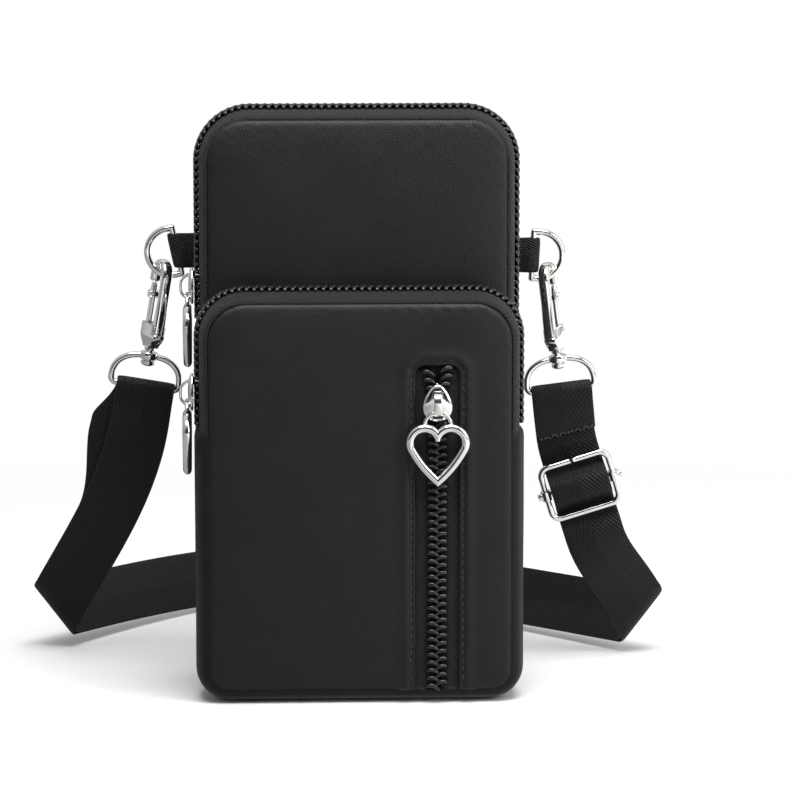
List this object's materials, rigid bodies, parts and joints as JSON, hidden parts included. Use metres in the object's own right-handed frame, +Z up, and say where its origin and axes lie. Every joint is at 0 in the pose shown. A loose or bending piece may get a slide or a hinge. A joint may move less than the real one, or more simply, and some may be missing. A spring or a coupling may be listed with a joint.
{
  "type": "phone pouch",
  "caption": "Slim padded crossbody phone pouch with zipped compartments, heart-shaped pulls, D-rings and a clip-on doubled webbing strap.",
  "frame": {"origin": "under the middle of the main compartment, on the flat land of the main gusset that the pouch stands on", "axes": "+Z up, +X to the wearer's left as the front is seen to the right, -Y out of the front panel"},
  "size_m": [0.2124, 0.1705, 0.1871],
  "materials": {
    "nylon": "satin twill",
    "gusset_nylon": "satin twill",
    "foam": "open foam",
    "lining": "smooth polyester",
    "zip_tape": "matte twill tape",
    "coil": "glossy",
    "metal": "bright plate",
    "webbing": "chevron weave"
  },
  "bodies": {
    "bag": {"back_panel": "nylon", "back_foam": "foam", "back_lining": "lining", "middle_panel": "nylon", "middle_foam": "foam", "middle_lining": "lining", "front_panel": "nylon", "front_foam": "foam", "front_lining": "lining", "pocket_bag": "lining", "main_gusset": "gusset_nylon", "main_zip_tape_front": "zip_tape", "main_zip_tape_rear": "zip_tape", "main_zip_coil_front": "coil", "main_zip_coil_rear": "coil", "front_gusset": "gusset_nylon", "front_zip_tape_front": "zip_tape", "front_zip_tape_rear": "zip_tape", "front_zip_coil_front": "coil", "front_zip_coil_rear": "coil", "pocket_zip_tape_left": "zip_tape", "pocket_zip_tape_right": "zip_tape", "pocket_zip_coil_left": "coil", "pocket_zip_coil_right": "coil", "tab_left": "webbing", "tab_right": "webbing", "strap_loop_left": "metal", "strap_loop_right": "metal", "strap_left_fold": "webbing", "strap_left_drop": "webbing", "strap_behind": "webbing", "strap_right_drop": "webbing", "strap_right_end": "webbing", "strap_right_fold": "webbing", "adjuster_bar": "metal"},
    "pocket_slider": {"pocket_slider": "metal"},
    "pocket_pull": {"pocket_pull": "metal"},
    "main_slider": {"main_slider": "metal"},
    "main_pull": {"main_pull": "metal"},
    "front_slider": {"front_slider": "metal"},
    "front_pull": {"front_pull": "metal"},
    "ring_left": {"ring_left": "metal"},
    "ring_right": {"ring_right": "metal"},
    "gate_left": {"gate_left": "metal"},
    "gate_right": {"gate_right": "metal"},
    "adjuster_frame": {"adjuster_frame": "metal"},
    "hook_left": {"hook_left": "metal", "gate_pin_left": "metal"},
    "hook_right": {"hook_right": "metal", "gate_pin_right": "metal"}
  },
  "joints": [
    {"name": "pocket_slider_run", "type": "slide", "parent": "bag", "child": "pocket_slider", "axis": [0, 0, 1], "range_m": [-0.085, 0.002], "deforming": ["pocket_zip_coil_left", "pocket_zip_coil_right"]},
    {"name": "pocket_pull_swing", "type": "hinge", "parent": "pocket_slider", "child": "pocket_pull", "pos_m": [0.024, -0.04205, 0.09336], "axis": [-1, 0, 0], "range_deg": [0, 135]},
    {"name": "main_slider_run", "type": "slide", "parent": "bag", "child": "main_slider", "axis": [0, 0, 1], "range_m": [-0.0045, 0.038], "deforming": ["main_zip_coil_front", "main_zip_coil_rear"]},
    {"name": "main_pull_swing", "type": "hinge", "parent": "main_slider", "child": "main_pull", "pos_m": [-0.05425, -0.0026, 0.12626], "axis": [0, 1, 0], "range_deg": [0, 135]},
    {"name": "front_slider_run", "type": "slide", "parent": "bag", "child": "front_slider", "axis": [0, 0, 1], "range_m": [-0.005, 0.0145], "deforming": ["front_zip_coil_front", "front_zip_coil_rear"]},
    {"name": "front_pull_swing", "type": "hinge", "parent": "front_slider", "child": "front_pull", "pos_m": [-0.05425, -0.02555, 0.09526], "axis": [0, 1, 0], "range_deg": [0, 135]},
    {"name": "ring_left_swing", "type": "hinge", "parent": "bag", "child": "ring_left", "pos_m": [-0.0577, 0.01375, 0.1385], "axis": [-0.2079, 0, 0.9781], "range_deg": [-2, 2]},
    {"name": "ring_right_swing", "type": "hinge", "parent": "bag", "child": "ring_right", "pos_m": [0.0577, 0.01375, 0.1365], "axis": [0.0523, 0, 0.9986], "range_deg": [-2, 2]},
    {"name": "hook_left_swivel", "type": "hinge", "parent": "bag", "child": "hook_left", "pos_m": [-0.06707, 0.01375, 0.10426], "axis": [0.165, 0, 0.9863], "range_deg": [-52, 4]},
    {"name": "hook_right_swivel", "type": "hinge", "parent": "bag", "child": "hook_right", "pos_m": [0.06598, 0.01375, 0.1025], "axis": [-0.1219, 0, 0.9925], "range_deg": [-4, 52]},
    {"name": "gate_left_swing", "type": "hinge", "parent": "hook_left", "child": "gate_left", "pos_m": [-0.06743, 0.01768, 0.1127], "axis": [0.901, 0.4067, -0.1508], "range_deg": [0, 20], "stiffness_Nm_per_rad": 0.02, "springref_deg": -17.19},
    {"name": "gate_right_swing", "type": "hinge", "parent": "hook_right", "child": "gate_right", "pos_m": [0.06671, 0.01768, 0.11091], "axis": [0.9067, -0.4067, 0.1113], "range_deg": [0, 20], "stiffness_Nm_per_rad": 0.02, "springref_deg": -17.19},
    {"name": "adjuster_slide", "type": "slide", "parent": "bag", "child": "adjuster_frame", "axis": [0.2907, 0.1061, -0.9509], "range_m": [-0.0015, 0.0015]}
  ]
}
